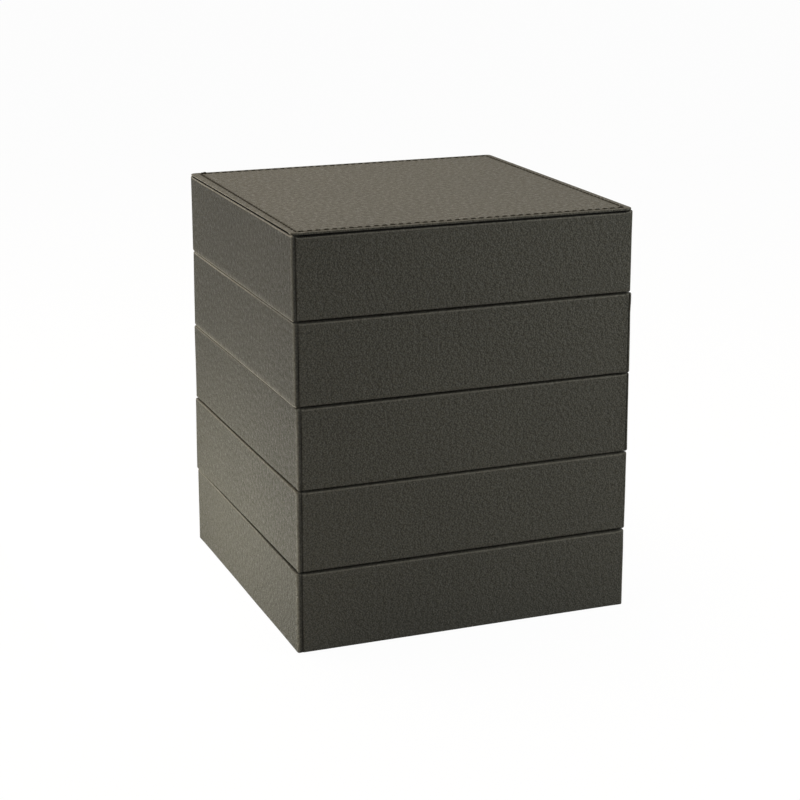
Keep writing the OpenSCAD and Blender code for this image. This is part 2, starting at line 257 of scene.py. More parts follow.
def piece(name, points, material, body, slot, replaced=(), faces=None, sharp=35, uv=None, **attributes):
    """A mesh object from a grid of points in millimetres that closes both ways, or from points and groups of
    faces, turned outwards. It rides on its body, takes the given material as its finish and stands for the
    CAD nodes that it replaces. The slot is not used."""
    faces = faces or [grid_faces(*points.shape[:2])]
    points = np.asarray(points, float).reshape(-1, 3) * MM
    mesh = bpy.data.meshes.new(name)
    mesh.from_pydata(points.tolist(), [], [face for group in faces for face in np.asarray(group).tolist()])
    mesh.calc_loop_triangles()
    triangles = np.empty(len(mesh.loop_triangles) * 3, np.int32)
    mesh.loop_triangles.foreach_get("vertices", triangles)
    a, b, c = points[triangles].reshape(-1, 3, 3).transpose(1, 0, 2)
    if np.einsum("ij,ij->", a, np.cross(b, c)) < 0:
        mesh.flip_normals()
    for key, values in attributes.items():
        layer = mesh.attributes.new(key, "FLOAT", "POINT")
        layer.data.foreach_set("value", np.asarray(values, np.float32).ravel())
    if uv is not None:
        corner = np.empty(len(mesh.loops), np.int32)
        mesh.loops.foreach_get("vertex_index", corner)
        layer = mesh.uv_layers.new(name="cloth")
        layer.data.foreach_set("uv", uv.reshape(-1, 2)[corner].astype(np.float32).ravel())
    mesh.shade_smooth()
    mesh.set_sharp_from_angle(angle=np.radians(sharp))
    mesh.materials.append(material)
    made = bpy.data.objects.new(name, mesh)
    bpy.context.scene.collection.objects.link(made)
    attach(made, body)
    if replaced:
        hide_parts(*replaced)
    return made


# The embossed grain on the cloth's own map: rounded pebbles, finer ones, beads, and a tooth over all
grain, grain_in, grain_out = effect("pebble_grain", 800.0, ["Height", "Valley", "Dimple"])
flat, pebble_scale = grain_in["Vector"], grain_in["Scale"]
drift = noise(grain, flat, 300.0, 1.0, dimensions="2D")[1]
shift = node(grain, "VectorMath", {0: drift, 1: (0.5, 0.5, 0.5)}, operation="SUBTRACT")[0]
moved = node(grain, "VectorMath", {0: flat, 1: shaded(grain, shift, 0.0004)})[0]
spot = node(grain, "VectorRotate", {"Vector": moved, "Angle": 0.6}, rotation_type="Z_AXIS")[0]


def pebble_distance(scale):
    """Distance from the middle of the nearest pebble."""
    inputs = {"Vector": spot, "Scale": scale, "Randomness": 0.85}
    return node(grain, "TexVoronoi", inputs, voronoi_dimensions="2D")["Distance"]


gap = eased(grain, pebble_distance(pebble_scale), 0.1, 0.65)
fine_gap = eased(grain, pebble_distance(math(grain, "MULTIPLY", pebble_scale, 2.1)), 0.22, 0.8)
pits = math(grain, "MULTIPLY", fine_gap, 0.18)
beads = noise(grain, spot, 1600.0, 0.0, dimensions="2D")[0]
between = math(grain, "MULTIPLY", eased(grain, beads, 0.66, 0.34), 0.45)
valley = math(grain, "ADD", scaled(grain, gap, 0.55, pits), between)
tooth = noise(grain, flat, 4200.0, 2.0, dimensions="2D")[0]
dimples = noise(grain, flat, 420.0, 2.0, dimensions="2D")[0]
toothed = scaled(grain, tooth, 0.25, math(grain, "SUBTRACT", 1.45, valley))
grain.links.new(valley, grain_out["Valley"])
grain.links.new(dimples, grain_out["Dimple"])
grain.links.new(scaled(grain, dimples, 4.5, toothed), grain_out["Height"])

# Coated cloth: darker in the grain's valleys; near black as painted shade where the crease attribute is set,
# in creases, seams and under the hem; paler on edges as wear and painted highlight; faintly glossy
leathercloth, tree, shader = finish_of("pebbled_leathercloth")
pebbles = placed(tree, grain, node(tree, "UVMap", uv_map="cloth")[0], 860.0)
patches = placed(tree, patchy, node(tree, "TexCoord")["Object"], 16.0)["Tone"]
crease = node(tree, "Attribute", attribute_name="crease")["Fac"]
edge = node(tree, "Attribute", attribute_name="edge")["Fac"]
pebbled = mixed(tree, pebbles["Valley"], (0.0580, 0.0553, 0.0440), (0.0250, 0.0239, 0.0185))
tone = scaled(tree, pebbles["Dimple"], 0.16, scaled(tree, patches, 0.1, 0.87))
# The edge attribute mixes in a pale colour: partly wear, partly painted highlight
pale_wear_and_highlight = mixed(tree, edge, shaded(tree, pebbled, tone), (0.17, 0.16, 0.132))
rough = scaled(tree, pebbles["Valley"], 0.12, scaled(tree, pebbles["Dimple"], 0.6, 0.32))
worn = scaled(tree, crease, 0.25, scaled(tree, edge, -0.2, rough))
# The crease attribute mixes in near black: painted shade
paint(tree, shader, mixed(tree, crease, pale_wear_and_highlight, (0.010, 0.009, 0.007)), worn)
relief(tree, shader, pebbles["Height"], 0.6, 0.0004)
shader.inputs["IOR"].default_value = 1.3


def ease(x, low, high):
    """Zero below low, one above high, and a smooth step between."""
    t = np.clip((x - low) / (high - low), 0, 1)
    return t * t * (3 - 2 * t)


def fade(x, low, high):
    """One below low, zero above high, and a smooth step between."""
    return ease(-x, -high, -low)


def bell(x, centre, width):
    """A bell curve of height one."""
    return np.exp(-((x - centre) / width) ** 2)


def run_along(line):
    """The distance along a line of points, from its first to each."""
    return np.cumsum(np.r_[0, np.hypot(*np.diff(line, axis=0).T)])


def raised(plan, z):
    """Points from their plan and their heights."""
    return np.concatenate([plan, np.broadcast_to(z, plan.shape[:-1])[..., None]], -1)


def lean(points, degrees):
    """Moves points as a small turn about the post would, fading to nothing at the back: hand-built trays
    stand a little out of line at the front, while their hinged and pivoted backs stay true."""
    share = np.radians(degrees) * (HALF - points[..., 1]) / (2 * HALF)
    moved = points.copy()
    moved[..., 0] -= share * (points[..., 1] - POST_Y)
    moved[..., 1] += share * (points[..., 0] - POST_X)
    return moved


def wrap_section(height, foot_r):
    """Section of a wrap as depth from the outer face and height from its underside, in two stretches: from
    the turned-under edge to the foot, up the face, over a soft roll and a tight turn to the lip; and back."""
    lip_z = height - LIP_DROP
    tilt = np.radians(ROLL_TO)
    roll_z = height - TURN_R - (ROLL_R - TURN_R) * np.sin(tilt)
    turn_in = ROLL_R + (ROLL_R - TURN_R) * np.cos(tilt)
    outer = np.concatenate([
        [[TURN_UNDER, 0], [3.0, 0]],
        arc((foot_r, foot_r - FOOT_DROP), foot_r, 270, 180, 8),
        np.c_[np.zeros(20), np.linspace(foot_r - FOOT_DROP, roll_z, 22)[1:-1]],
        arc((ROLL_R, roll_z), ROLL_R, 180, ROLL_TO, 5),
        arc((turn_in, height - TURN_R), TURN_R, ROLL_TO, 90, 6)[1:],
        [[RIM_W / 2, height]],
        arc((RIM_W - LIP_R, height - LIP_R), LIP_R, 90, 0, 5),
        [[RIM_W, lip_z + 0.4]],
    ])
    inner = np.array([
        [RIM_W - 0.3, lip_z], [RIM_W - LEATHER_T, lip_z],
        [RIM_W - LEATHER_T, height - LEATHER_T], [LEATHER_T, height - LEATHER_T],
        [LEATHER_T, LEATHER_T], [TURN_UNDER, LEATHER_T],
    ])
    return outer, inner


def wrap(tray, degrees, full, crease, right, heel, foot_lift, left_foot, left_rim_wear_and_highlight, phase, under_lid=0.0):
    """The wrap of one tray: its section carried round a rounded square. The face swells and dips by a few
    hundredths with sums of sines and bulges towards its upright edges, which fades with the distance from
    them. An upright crease is a bell-shaped groove, and a loose end is a slope cut off by a narrow bell."""
    low, high = corners(tray + "_leather")
    height = high[2] - low[2]
    crease_x = crease[0] - HALF
    loose_x = HALF - LOOSE_IN
    near = np.linspace(-0.9, 0.9, 15)
    step = np.array([-0.04, 0.04])
    notch = np.array([[HINGE_OUT - HINGE_W - NOTCH_FIT], [HINGE_OUT + NOTCH_FIT]])
    notch_steps = (notch + step).ravel()
    block_end, block_top = corners(tray + "_block")[1, [0, 2]]
    beside = step - block_end
    at = stations(3.0, {
        FRONT: np.concatenate([crease_x + near, loose_x + near[near < 0.3]]),
        BACK: np.concatenate([notch_steps, -notch_steps, beside]),
        LEFT: -beside,
    })

    # The strip starts and ends in the crease
    first = np.argmax((at[:, 0] == FRONT) & (at[:, 1] >= crease_x - 0.01))
    at = np.roll(at, -first, axis=0)
    side, place, turn = at.T[:, :, None]
    foot_r = BASE_FOOT_R if tray == "base_tray" else FOOT_R
    outer, inner = wrap_section(height, foot_r)
    section = np.concatenate([outer, inner])
    depth, rise = section.T[:, None, :]
    shown = np.arange(len(section)) < len(outer)
    outside = shown * fade(depth, 1.5, RIM_W)

    # Beside a block that reaches the rim the lip is cut away, so the section ends at the wall's inner face
    if block_top > high[2] - LIP_DROP:
        by_block = ((side == BACK) & (place > -block_end)) | ((side == LEFT) & (place < block_end))
        lip_rows = rise > height - LIP_DROP - 0.1
        depth = np.where(by_block & lip_rows, np.minimum(depth, RIM_W - LEATHER_T + 0.02), depth)
    points, outward = round_square(at, depth, np.maximum(EDGE_R - depth, 0.3))
    face = points[:, section[:, 0].argmin()]
    run = run_along(face)[:, None]
    cloth = np.stack(np.broadcast_arrays(run, run_along(section)), -1) * MM + phase

    # Hand-glued cloth is never quite flat
    uneven = 0.07 * np.sin(run / 31 + phase) * np.cos(rise / 17 - phase)
    uneven += 0.04 * np.sin(run / 11.3 + 2 * phase + rise / 9)
    on_front = (side == FRONT) & (turn == 0)
    groove = on_front * bell(place, crease_x, 0.34) * (0.85 + 0.15 * np.sin(rise / 5 + phase))
    strip = on_front * fade(place, crease_x - 0.3, crease_x + 0.1)
    swell = full + uneven - crease[1] * groove - 0.12 * strip
    # Painted shade in the crease's groove; the strip between the edge and the crease is darker towards the
    # crease
    dark = np.maximum(groove, strip * (0.15 + 0.5 * ease(place, 0.4 - HALF, crease_x)))

    # The cloth is thicker where it laps round an upright edge: more at the foot or at the rim
    by_right = np.exp(-np.hypot(face[:, :1] - HALF, face[:, 1:] + HALF) / 3)
    by_heel = np.exp(-np.hypot(3 * (face[:, :1] + HALF), face[:, 1:] - HALF) / 20)
    down = 1 - rise / height
    up = ease(rise, 0.72 * height, 0.95 * height)
    swell = swell + by_right * (right[0] * down + right[1] * up)
    swell = swell + by_heel * (heel[0] * down + heel[1] * (1 - down))

    # A loose end of the cloth beside the right edge: proud just before its cut, a gap with painted shade,
    # then the cloth beneath
    cut = right[2] * on_front * bell(place, loose_x, 0.27)
    proud = on_front * ease(place, loose_x - 2.5, loose_x - 0.2) * (place < loose_x)
    swell = swell + right[2] * 0.18 * proud - 0.5 * cut
    dark = np.maximum(dark, cut)

    # At the front the rim dips and the foot lifts, which opens a seam whose inner faces get painted shade; at
    # the left the foot may sag.
    # Under the lid the rim sinks further, at the left end of the front most of all
    off_ends = ease(STRAIGHT - np.abs(place), -0.5, 3.0)
    at_front = on_front * off_ends
    at_left = ((side == LEFT) & (turn == 0)) * off_ends
    by_face = shown * fade(depth, 1.5, 4.0)
    by_rim = by_face * ease(rise, height - 4, height - 0.6)
    by_foot = by_face * fade(rise, 0.3, 3.0)
    to_back = np.clip(0.5 - place / (2 * HALF), 0, 1)
    front_dip = FRONT_DIP + under_lid * (1 + 0.8 * ease(-place, 55, 86))
    left_dip = under_lid * (0.95 + 0.3 * to_back)
    left_sag = left_foot[0] + (left_foot[1] - left_foot[0]) * to_back
    level = rise + at_front * (foot_lift * by_foot - front_dip * by_rim)
    level = level - at_left * (left_sag * by_foot + left_dip * by_rim)
    in_rim = rise > height - 0.8
    # Painted shade in the front seam: on the foot's underside and on the rim's top
    foot_seam_shade = ease(depth, 0.3, 0.8) * (rise < foot_r)
    rim_seam_shade = 0.9 * ease(depth, 0.4, 0.8) * fade(depth, 1.5, 3.0) * in_rim
    dark = np.maximum(dark, at_front * shown * np.maximum(foot_seam_shade, rim_seam_shade))
    if tray == "top_tray":
        # Painted shade on the top tray's rim, in the seam under the lid's front and left edges
        dark = np.maximum(dark, (at_front + at_left) * shown * in_rim * ease(depth, 0.25, 0.5))
        from_notch = np.abs(np.abs(place) - HINGE_OUT + HINGE_W / 2)
        in_notch = (side == BACK) & (from_notch < HINGE_W / 2 + NOTCH_FIT)
        level = np.where(in_notch, np.minimum(level, height - NOTCH_DROP), level)
    points = points + outward[:, None, :] * (swell * outside)[..., None]
    solid = raised(points, low[2] + level)
    solid = solid + (lean(solid, degrees) - solid) * outside[..., None]

    # Rims, left feet and upright edges are painted paler: partly wear, partly painted highlight, which is
    # strongest on the left side where the light falls
    left_wear_and_highlight = left_rim_wear_and_highlight[0] + (left_rim_wear_and_highlight[1] - left_rim_wear_and_highlight[0]) * to_back
    band = ease(rise, height - 0.95, height - 0.6) * fade(depth, 0.5, 1.4)
    rim = np.where(side == LEFT, left_wear_and_highlight, RIM_WEAR_AND_HIGHLIGHT) * band
    foot = (side == LEFT) * left_foot[2] * fade(rise, 0.5, foot_r + 0.1) * (depth < foot_r + 0.1)
    corner = 0.2 * np.sin(2 * turn) ** 2 + 0.15 * (side == LEFT) * ease(place, STRAIGHT - 2, STRAIGHT)
    edge = np.maximum(np.maximum(rim, foot), corner)
    # The crease attribute carries painted shade; the edge attribute carries wear and painted highlight
    piece(tray + "_wrap", solid, leathercloth, BODY_OF[tray], "leathercloth", [tray + "_leather"],
          uv=cloth, crease=dark * outside, edge=edge * outside)


# A crease is its distance from the left edge and its depth; right is how far that edge stands out at the foot
# and the rim, and how loose its end is; heel is the back left edge's foot and rim. A left foot has its sag at
# the front and at the back and its paleness, and a left rim its paleness at the front and at the back; this
# paleness is partly wear and partly painted highlight
wrap("base_tray", degrees=-0.08, full=0.50, crease=(2.2, 0.40), right=(0.24, -0.12, 0.0), heel=(0.5, 0.1),
     foot_lift=0.0, left_foot=(0.0, 0.0, 0.0), left_rim_wear_and_highlight=(0.0, 0.4), phase=0.4)
wrap("tray_4", degrees=0.11, full=0.40, crease=(2.1, 0.35), right=(0.06, 0.04, 0.3), heel=(0.8, 0.4),
     foot_lift=0.15, left_foot=(-0.55, 0.35, 0.15), left_rim_wear_and_highlight=(0.3, 0.4), phase=1.7)
wrap("tray_3", degrees=0.26, full=0.15, crease=(2.0, 0.35), right=(0.58, -0.06, 1.0), heel=(0.25, 0.05),
     foot_lift=-0.1, left_foot=(-0.3, -0.1, 0.2), left_rim_wear_and_highlight=(0.1, 0.5), phase=2.9)
wrap("tray_2", degrees=-0.05, full=0.10, crease=(2.1, 0.35), right=(0.74, 0.46, 1.0), heel=(-0.05, -0.5),
     foot_lift=0.15, left_foot=(0.4, 0.5, 1.0), left_rim_wear_and_highlight=(0.45, 1.0), phase=4.1)
wrap("top_tray", degrees=-0.24, full=-0.05, crease=(2.0, 0.45), right=(0.2, 0.06, 0.0), heel=(-0.15, -0.2),
     foot_lift=0.15, left_foot=(0.2, 0.5, 0.8), left_rim_wear_and_highlight=(1.0, 1.0), phase=5.3, under_lid=0.35)


# Sheets under the trays and the base's felt.
# A sheet of thin black-brown backing cloth on card closes the window that the turned-under wrap leaves.
# Pressed felt, glued under the base, keeps it from scratching the table.
backing, tree, shader = fibre_finish(
    "backing_cloth", (0.036, 0.033, 0.027), (0.026, 0.024, 0.020), 25.0, 2200.0, 0.82, 0.0001)
threads = {"Vector": node(tree, "TexCoord")["Object"], "Scale": 420.0}
warp, weft = (node(tree, "TexWave", threads, bands_direction=axis)[1] for axis in "XY")
relief(tree, shader, math(tree, "MAXIMUM", warp, weft), 0.5, 0.00015)
dress(backing, *(tray + "_underside" for tray in TRAYS))
felt = fibre_finish(
    "pressed_felt", (0.028, 0.027, 0.025), (0.018, 0.017, 0.016), 40.0, 700.0, 0.86, 0.0005)[0]
dress(felt, "base_felt")


# Suede liners.
# Each tray is lined with card covered in short-napped sand suede cloth, pushed in under the rim's lip.
# The nap lies one way or the other in soft patches, where fingers have brushed it.
def suede(name, light, dark):
    """Suede cloth: a short brushed nap in soft patches, with a sheen where it is seen along its surface."""
    material, _, shader = fibre_finish(name, light, dark, 48.0, 1300.0, 0.82, 0.00035)
    shader.inputs["Sheen Weight"].default_value = 0.35
    shader.inputs["Sheen Roughness"].default_value = 0.45
    shader.inputs["Specular IOR Level"].default_value = 0.15
    return material


lining = suede("sand_suede", (0.37, 0.295, 0.205), (0.29, 0.225, 0.15))
dress(lining, *(tray + "_liner" for tray in TRAYS))


# Corner blocks.
# A square wooden block in the back left corner of each tray takes the post, and is covered in the same suede.
# It is glued to the floor and to two walls; the top tray's is lower, to leave room for the nut.
BLOCK_EDGE = 1.0
BORE_EDGE = 0.4
BUSH_FIT = 0.05


def about_post(radius, angle, z):
    """Points at a radius, an angle and a height about the post's axis."""
    x, y = POST_X + radius * np.cos(angle), POST_Y + radius * np.sin(angle)
    return np.stack(np.broadcast_arrays(x, y, z), -1)


def from_post(name):
    """How far a CAD node reaches from the post's axis."""
    return corners(name)[1, 0] - POST_X


def full_turn(count):
    """Even angles round a circle, as a column."""
    return np.linspace(0, 2 * np.pi, count, endpoint=False)[:, None]


def superellipse(half, power, angle):
    """Radius at an angle: half / (|cos|^power + |sin|^power)^(1/power), from a circle to a square."""
    return half / (np.abs(np.cos(angle)) ** power + np.abs(np.sin(angle)) ** power) ** (1 / power)


def corner_block(tray):
    """Rings round the post's axis, from the bore's foot up and over the top and down the faces: each is a
    superellipse, whose power grows from a circle at the bore to a square with soft corners at the faces."""
    low, high = corners(tray + "_block")
    half = (high[0] - low[0]) / 2
    z0, z1 = low[2], high[2]
    bore = from_post("post" if tray == "base_tray" else tray + "_bush") + BUSH_FIT
    over = arc((half - BLOCK_EDGE, z1 - BLOCK_EDGE), BLOCK_EDGE, 90, 0, 5)
    rings = np.array([
        [bore, z0, 2], [bore, z1 - BORE_EDGE, 2], [bore + BORE_EDGE, z1, 2],
        [0.6 * half, z1, 3], [0.8 * half, z1, 7],
        *np.c_[over, np.full(5, 22)],
        [half, (z0 + z1) / 2, 24], [half, z0, 24],
    ])
    angle = full_turn(160)
    solid = about_post(superellipse(rings[:, 0], rings[:, 2], angle), angle, rings[:, 1])
    piece(tray + "_corner_block", solid, lining, BODY_OF[tray], "suede", [tray + "_block"])


for tray in TRAYS:
    corner_block(tray)


# Pivot bushes and thrust washers.
# A brass tube pressed into each turning tray's block runs on the post, its ends turned square and chamfered.
# Nylon washers punched from sheet lie between the trays, and one lies under the nut.
TURNING = TRAYS[1:]
BUSH_CHAMFER = 0.3
WASHER_T = 0.6
WASHER_CHAMFER = 0.12
WASHER_FIT = 0.03


def tube(inside, outside, z0, z1, chamfer):
    """A rectangle of radius and height with its corners cut off, carried round the post's axis."""
    near, far = inside + chamfer, outside - chamfer
    low, high = z0 + chamfer, z1 - chamfer
    radius = np.array([near, far, outside, outside, far, near, inside, inside])
    return about_post(radius, full_turn(72), np.array([z0, z0, low, high, z1, z1, high, low]))


# Fine marks that tools leave on metal and plastic, drawn out along whatever stretch their coordinates have
marks = noise_effect("tool_marks", 2000.0, "Mark", 0.3, 0.7, 5.0, 0.6)


def tooled(name, bright, dull, stretch, rough, metal, patch=60.0, bump=0.00002):
    """Metal or plastic with fine marks along one direction and duller patches of handling."""
    material, tree, shader = finish_of(name)
    where = node(tree, "TexCoord")["Object"]
    drawn = node(tree, "Mapping", {"Vector": where, "Scale": stretch})[0]
    mark = placed(tree, marks, drawn, 2600.0)["Mark"]
    tone = placed(tree, patchy, where, patch)["Tone"]
    worn = scaled(tree, mark, 0.35, math(tree, "MULTIPLY", tone, 0.65))
    paint(tree, shader, mixed(tree, worn, bright, dull), scaled(tree, worn, 0.22, rough))
    shader.inputs["Metallic"].default_value = metal
    relief(tree, shader, mark, 0.35, bump)
    return material


turned_brass = tooled("turned_brass", (0.62, 0.40, 0.13), (0.40, 0.24, 0.075), (0.15, 0.15, 1.0), 0.22, 1.0)
nylon = tooled("natural_nylon", (0.80, 0.78, 0.70), (0.68, 0.66, 0.58), (1.0, 1.0, 1.0), 0.42, 0.0)
inside = from_post("post") + BUSH_FIT
for tray in TURNING:
    low, high = corners(tray + "_bush")
    bush = tube(inside, from_post(tray + "_bush"), low[2], high[2], BUSH_CHAMFER)
    piece(tray + "_pivot_bush", bush, turned_brass, tray, "bush_brass", [tray + "_bush"])
feet = [corners(tray + "_bush")[0, 2] - WASHER_T for tray in TURNING] + [corners("top_tray_block")[1, 2]]
washer_out = from_post("thrust_washers")
washers = np.stack([
    tube(inside, washer_out, z + WASHER_FIT, z + WASHER_T - WASHER_FIT, WASHER_CHAMFER) for z in feet])
quads = grid_faces(*washers.shape[1:3]) + np.arange(len(feet))[:, None, None] * washers[0, ..., 0].size
piece("nylon_washers", washers, nylon, "base", "washer_nylon", ["thrust_washers"],
      faces=[quads.reshape(-1, 4)])


# Dividers.
# Thin boards covered in suede stand on the floor: one beside the corner block, then columns and rows.
# They are cut to fit by hand, and the cloth is folded over their top edges, so those are round.
LINER_T = 1.2
DIVIDER_T = 4.0
DIVIDER_H = 22.0
DIVIDER_FIT = 0.2
FOLD = 0.8
COLUMNS = {"top_tray": 1, "tray_2": 3, "tray_3": 2, "tray_4": 3, "base_tray": 1}
ROWS = {"top_tray": 2, "tray_2": 3, "tray_3": 2, "tray_4": 1, "base_tray": 1}


def capped(bars):
    """Faces of closed bars, an array of bars by rings by points: quads between rings, and end caps."""
    number, rings, around = bars.shape[:3]
    quads = grid_faces(rings, around, False, True)
    caps = np.stack([np.arange(around), (rings - 1) * around + np.arange(around)[::-1]])
    step = (np.arange(number) * rings * around)[:, None, None]
    return [(quads + step).reshape(-1, 4), (caps + step).reshape(-1, around)]


def board_bar(start, end, z0):
    """A board between two points of its middle line: an upright section with a round top, carried along the
    line, its end rings drawn in a little so that the folded cloth at its ends is round too."""
    radius = DIVIDER_T / 2
    top = arc((0, DIVIDER_H - radius), radius, 0, 180, 11)
    outline = np.concatenate([[[radius - 0.3, 0], [radius, 0.3]], top, [[-radius, 0.3], [0.3 - radius, 0]]])
    up = outline[:, 1] / DIVIDER_H
    start, end = np.asarray(start, float), np.asarray(end, float)
    length = np.hypot(*(end - start))
    along = (end - start) / length
    across = np.array([-along[1], along[0]])
    ends = np.array([0, 0.25, FOLD])
    far = np.concatenate([ends, np.linspace(0, length, 14)[1:-1], length - ends[::-1]])[:, None]
    drawn = 1 - 0.35 * np.clip(1 - np.minimum(far, length - far) / FOLD, 0, 1) ** 2
    sideways = outline[:, 0] * drawn + 0.05 * np.sin(far / 7 + start[0]) * up
    plan = start + along * far[..., None] + across * sideways[..., None]
    rise = z0 + outline[:, 1] - (1 - drawn) * FOLD * up
    return raised(plan, rise)


def dividers(tray):
    """The boards of one tray, laid out on its grid of columns and rows."""
    liner_low, liner_high = corners(tray + "_liner")
    inside = liner_high[0] - LINER_T
    z0 = liner_low[2] + LINER_T
    first = corners(tray + "_block")[1, 0] + DIVIDER_FIT + DIVIDER_T
    columns, rows = COLUMNS[tray], ROWS[tray]
    cell_w = (inside - first - (columns - 1) * DIVIDER_T) / columns
    cell_d = (2 * inside - (rows - 1) * DIVIDER_T) / rows
    bars = []
    for c in range(columns):
        left = first + c * (cell_w + DIVIDER_T)
        x = left - DIVIDER_T / 2
        bars.append(board_bar((x, DIVIDER_FIT - inside), (x, inside - DIVIDER_FIT), z0))
        for r in range(1, rows):
            y = r * (cell_d + DIVIDER_T) - inside - DIVIDER_T / 2
            bars.append(board_bar((left + DIVIDER_FIT, y), (left + cell_w - DIVIDER_FIT, y), z0))
    bars = np.stack(bars)
    piece(tray + "_divider_boards", bars, lining, BODY_OF[tray], "suede", [tray + "_dividers"],
          faces=capped(bars), sharp=50)


for tray in TRAYS:
    dividers(tray)


# Ring rolls.
# Five bars of soft foam in suede sleeves lie side by side in the top tray and grip rings between them.
# The sleeves' ends are gathered and tucked, so a roll is crowned, drawn in at its ends and a little uneven.
ROLL_COUNT = 5
ROLL_W = 15.0
ROLL_GAP = 0.6
ROLL_END = 3.5
ROLL_FOOT_R = 2.2
roll_suede = suede("roll_suede", (0.40, 0.325, 0.23), (0.315, 0.25, 0.17))
rolls_low, rolls_high = corners("top_tray_ring_rolls")


def ring_roll(number):
    """One roll: a flat-footed section with a round crown, carried along X. Near the ends it shrinks on a
    quarter circle and puckers in folds round the section; between them it swells and sags with slow sines."""
    length, _, height = rolls_high - rolls_low
    half = ROLL_W / 2
    crown = arc((0, height - half), half, 0, 180, 25)
    heel = arc((ROLL_FOOT_R - half, ROLL_FOOT_R), ROLL_FOOT_R, 180, 270, 6)
    toe = arc((half - ROLL_FOOT_R, ROLL_FOOT_R), ROLL_FOOT_R, 270, 360, 6)
    outline = np.concatenate([crown[:-1], heel, np.c_[np.linspace(-4, 4, 7), np.zeros(7)], toe[:-1]])
    end = ROLL_END * (1 - np.cos(np.linspace(0, np.pi / 2, 9)))
    far = np.concatenate([end, np.linspace(0, length, 44)[3:-3], length - end[::-1]])[:, None]
    to_end = np.minimum(far, length - far)
    inward = np.clip(1 - to_end / ROLL_END, 0, 1)
    shrink = 1 - 0.42 * (1 - np.sqrt(np.clip(1 - inward ** 2, 0, 1)))
    spread = np.arctan2(outline[:, 1] - height / 2, outline[:, 0])
    pucker = 0.022 * np.cos(11 * spread + number) * bell(to_end, 1.5, 3.0)
    swell = 0.012 * np.sin(far / 9 + 2.1 * number) + 0.008 * np.sin(far / 4.3 + number)
    grow = shrink * (1 + pucker) + swell * ease(outline[:, 1], 2, 9) - 0.012
    sag = -0.25 * (0.5 + 0.5 * np.sin(far / 14 + 1.3 * number)) * ease(outline[:, 1], 8, 16)
    y = rolls_low[1] + half + (number - 1) * (ROLL_W + ROLL_GAP) + outline[:, 0] * grow
    middle = 0.45 * height
    z = rolls_low[2] + np.maximum(middle + (outline[:, 1] - middle) * grow + sag, 0)
    return np.stack(np.broadcast_arrays(rolls_low[0] + far, y, z), -1)[None]


for number in range(1, ROLL_COUNT + 1):
    bar = ring_roll(number)
    roll = piece(f"ring_roll_{number}", bar, roll_suede, "top_tray", "suede", ["top_tray_ring_rolls"],
                 faces=capped(bar), sharp=60)


# The swivel post, its flange and its nut.
# A bright drawn steel rod stands in a round flange that is screwed up into the base's block.
# Its upper end is threaded and chamfered, and a hexagon nut there keeps the stack of trays together.
THREAD_PITCH = 1.25
THREAD_DEPTH = 0.38
THREAD_LENGTH = 12.0
POST_CHAMFER = 0.7
NUT_FLATS = 13.0
NUT_H = 6.5
drawn_steel = tooled("drawn_steel", (0.62, 0.62, 0.63), (0.44, 0.44, 0.45), (1.0, 1.0, 0.02), 0.2, 1.0)
turned_steel = tooled("turned_steel", (0.58, 0.58, 0.59), (0.42, 0.42, 0.43), (1.0, 1.0, 0.2), 0.26, 1.0)
dress(turned_steel, "post_flange", "flange_screws")
post_r = from_post("post")
z0, z1 = corners("post")[:, 2]

# Along the thread the radius dips in a triangle wave of height less turn, and it fades in at the lower end
thread_z = z1 - THREAD_LENGTH
z = np.concatenate([np.linspace(z0, thread_z, 12), np.linspace(thread_z, z1, 130)[1:]])
angle = full_turn(48)
tooth = np.abs(2 * np.mod((z - z1) / THREAD_PITCH - angle / (2 * np.pi), 1) - 1)
run_in = ease(z, thread_z, thread_z + THREAD_PITCH)
threaded = post_r - THREAD_DEPTH * np.clip(1.25 * tooth - 0.1, 0, 1) * run_in
rod = about_post(np.minimum(threaded, post_r - POST_CHAMFER + (z1 - z)), angle, z)
rod = rod.transpose(1, 0, 2)[None]
piece("swivel_post", rod, drawn_steel, "base", "post_steel", ["post"], faces=capped(rod))

# The nut is a hexagon whose corners are cut by a cone at both ends: the smaller of two radii at each height
flat = NUT_FLATS / 2
lower = np.array([
    [post_r + 0.05, 0.45], [post_r + 0.5, 0], [flat - 0.1, 0], [flat + 0.55, 0.35], [flat + 1.2, 0.75]])
outline = np.concatenate([lower, lower[::-1] * (1, -1) + (0, NUT_H)])
angle = full_turn(96)
hexagon = flat / np.cos(np.mod(angle, np.pi / 3) - np.pi / 6)
nut = about_post(np.minimum(outline[:, 0], hexagon), angle, corners("post_nut")[0, 2] + outline[:, 1])
piece("swivel_nut", nut, turned_steel, "base", "post_steel", ["post_nut"], sharp=20)


# The lid's inside: card, mirror and suede frame.
# A card stiffener lies in the stitched cover; under it hangs a board with a silvered mirror let into it.
# Suede cloth covers the board's edges and face, and laps over the mirror's rim all round.
CARD_UP = 0.32
CARD_TOP = 0.58
CARD_FIT = 0.4
SKIN_T = 1.2
SKIN_EDGE = 1.2
LAP = 2.45
LAP_EDGE = 0.6
SLOT_FIT = 0.05
LEAF_ROOM = 0.85
card = fibre_finish("grey_card", (0.19, 0.165, 0.13), (0.14, 0.12, 0.09), 60.0, 600.0, 0.8, 0.0001)[0]
card_low, card_high = corners("lid_card")


def closed_over(grid):
    """Faces of a ring-shaped grid whose first and last lines close on two points numbered after it."""
    rows, columns = grid.shape[:2]
    ring, after = np.arange(rows), (np.arange(rows) + 1) % rows
    first = np.c_[np.full(rows, rows * columns), after * columns, ring * columns]
    last = np.c_[(ring + 1) * columns - 1, (after + 1) * columns - 1, np.full(rows, rows * columns + 1)]
    return [grid_faces(rows, columns, True, False), first, last]


